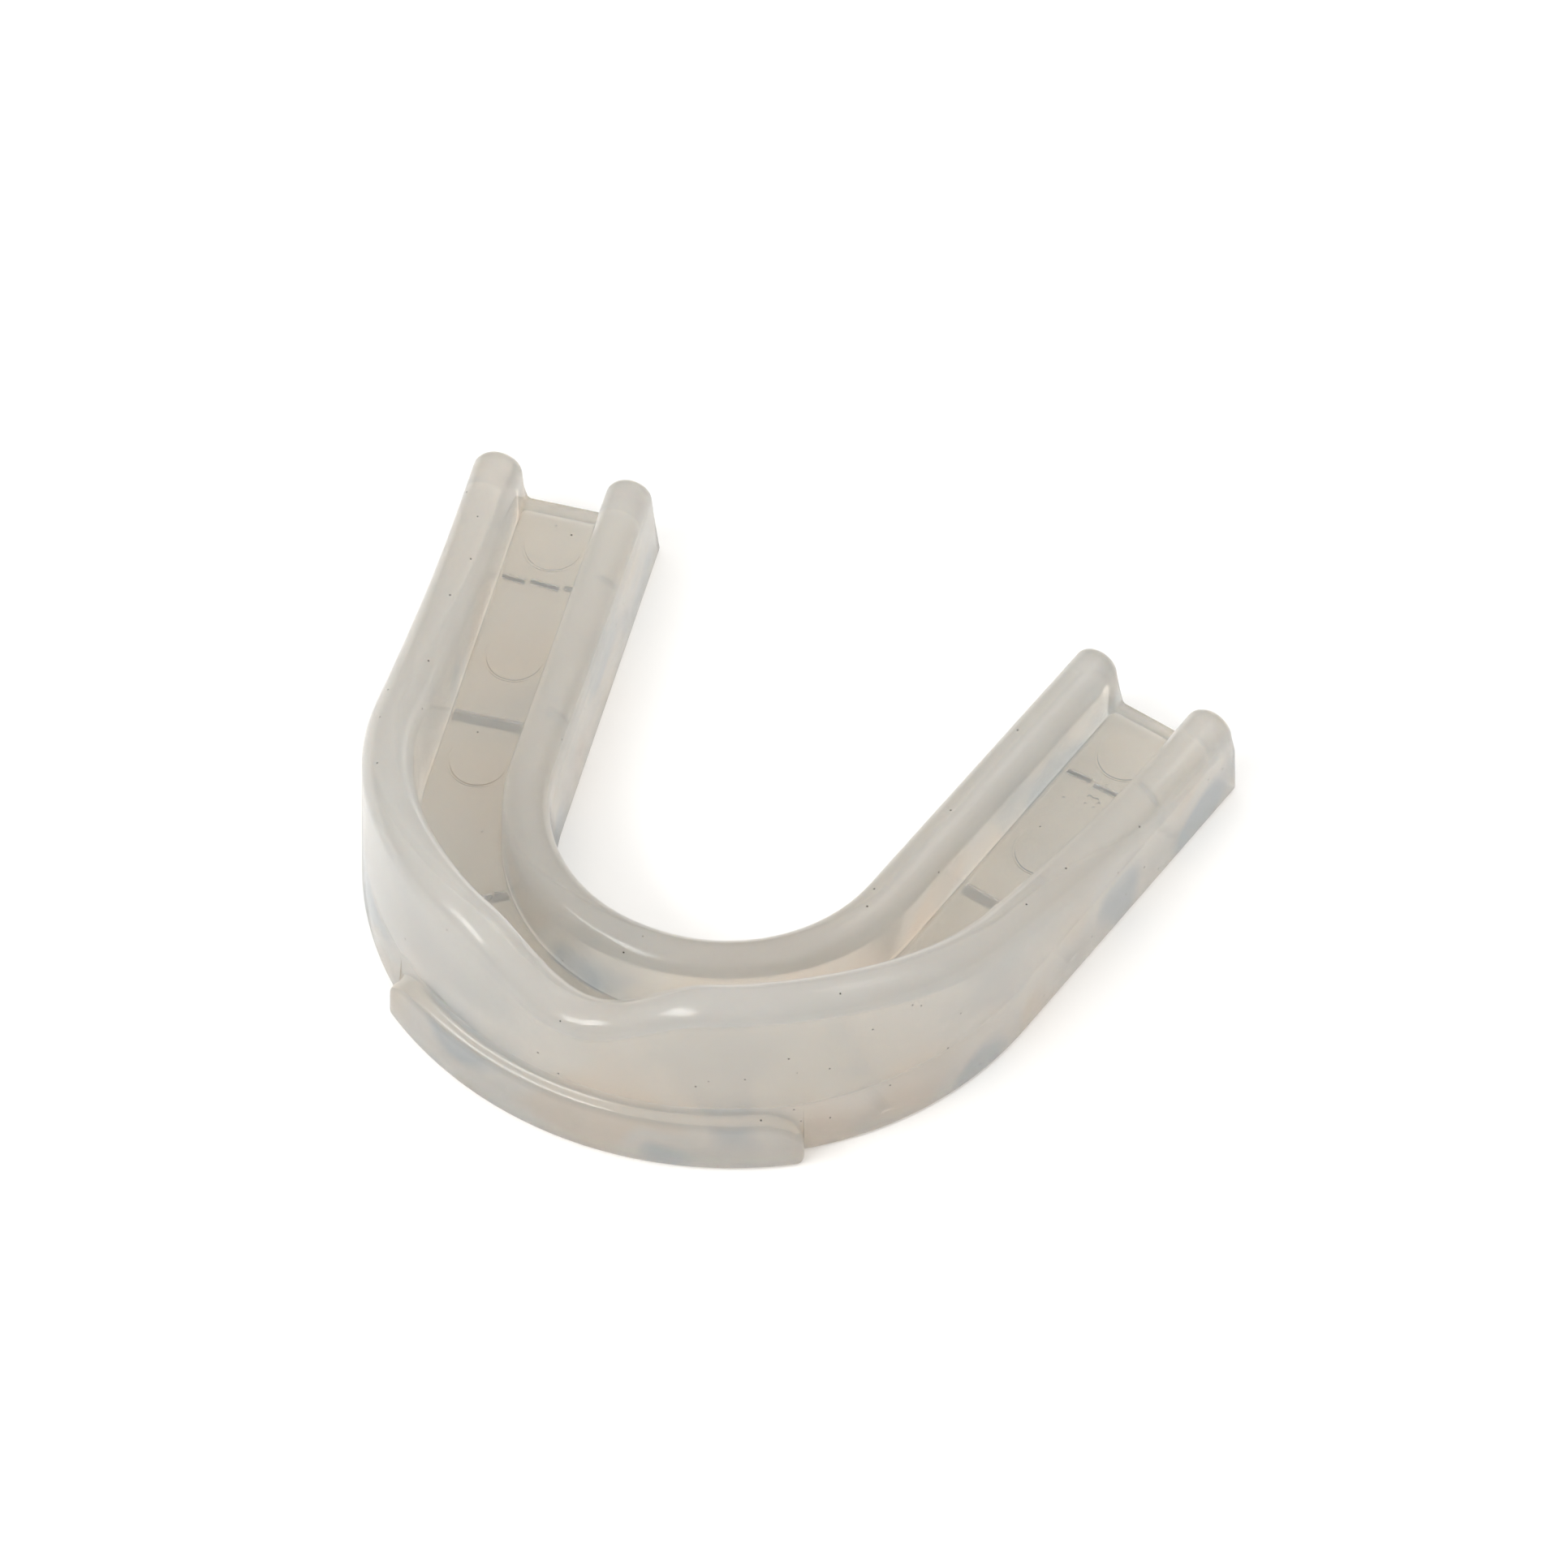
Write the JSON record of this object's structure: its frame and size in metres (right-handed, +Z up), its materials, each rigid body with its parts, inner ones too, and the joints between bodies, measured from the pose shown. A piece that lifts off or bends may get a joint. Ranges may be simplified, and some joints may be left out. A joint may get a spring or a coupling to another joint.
{
  "type": "mouthguard",
  "caption": "Clear boil-and-bite mouthguard for the upper teeth: a U-shaped tooth channel with a tall notched front wall, a low inner wall and a lip ledge.",
  "frame": {"origin": "middle of the bounding box, on the flat underside", "axes": "+X across the mouth from one arm to the other, +Y from the front teeth towards the molars, +Z up out of the tooth channel"},
  "size_m": [0.0672, 0.0572, 0.0183],
  "materials": {
    "clear_eva": "moulded, translucent, slightly milky"
  },
  "bodies": {
    "root": {"mouthguard_moulding": "clear_eva"}
  },
  "joints": []
}
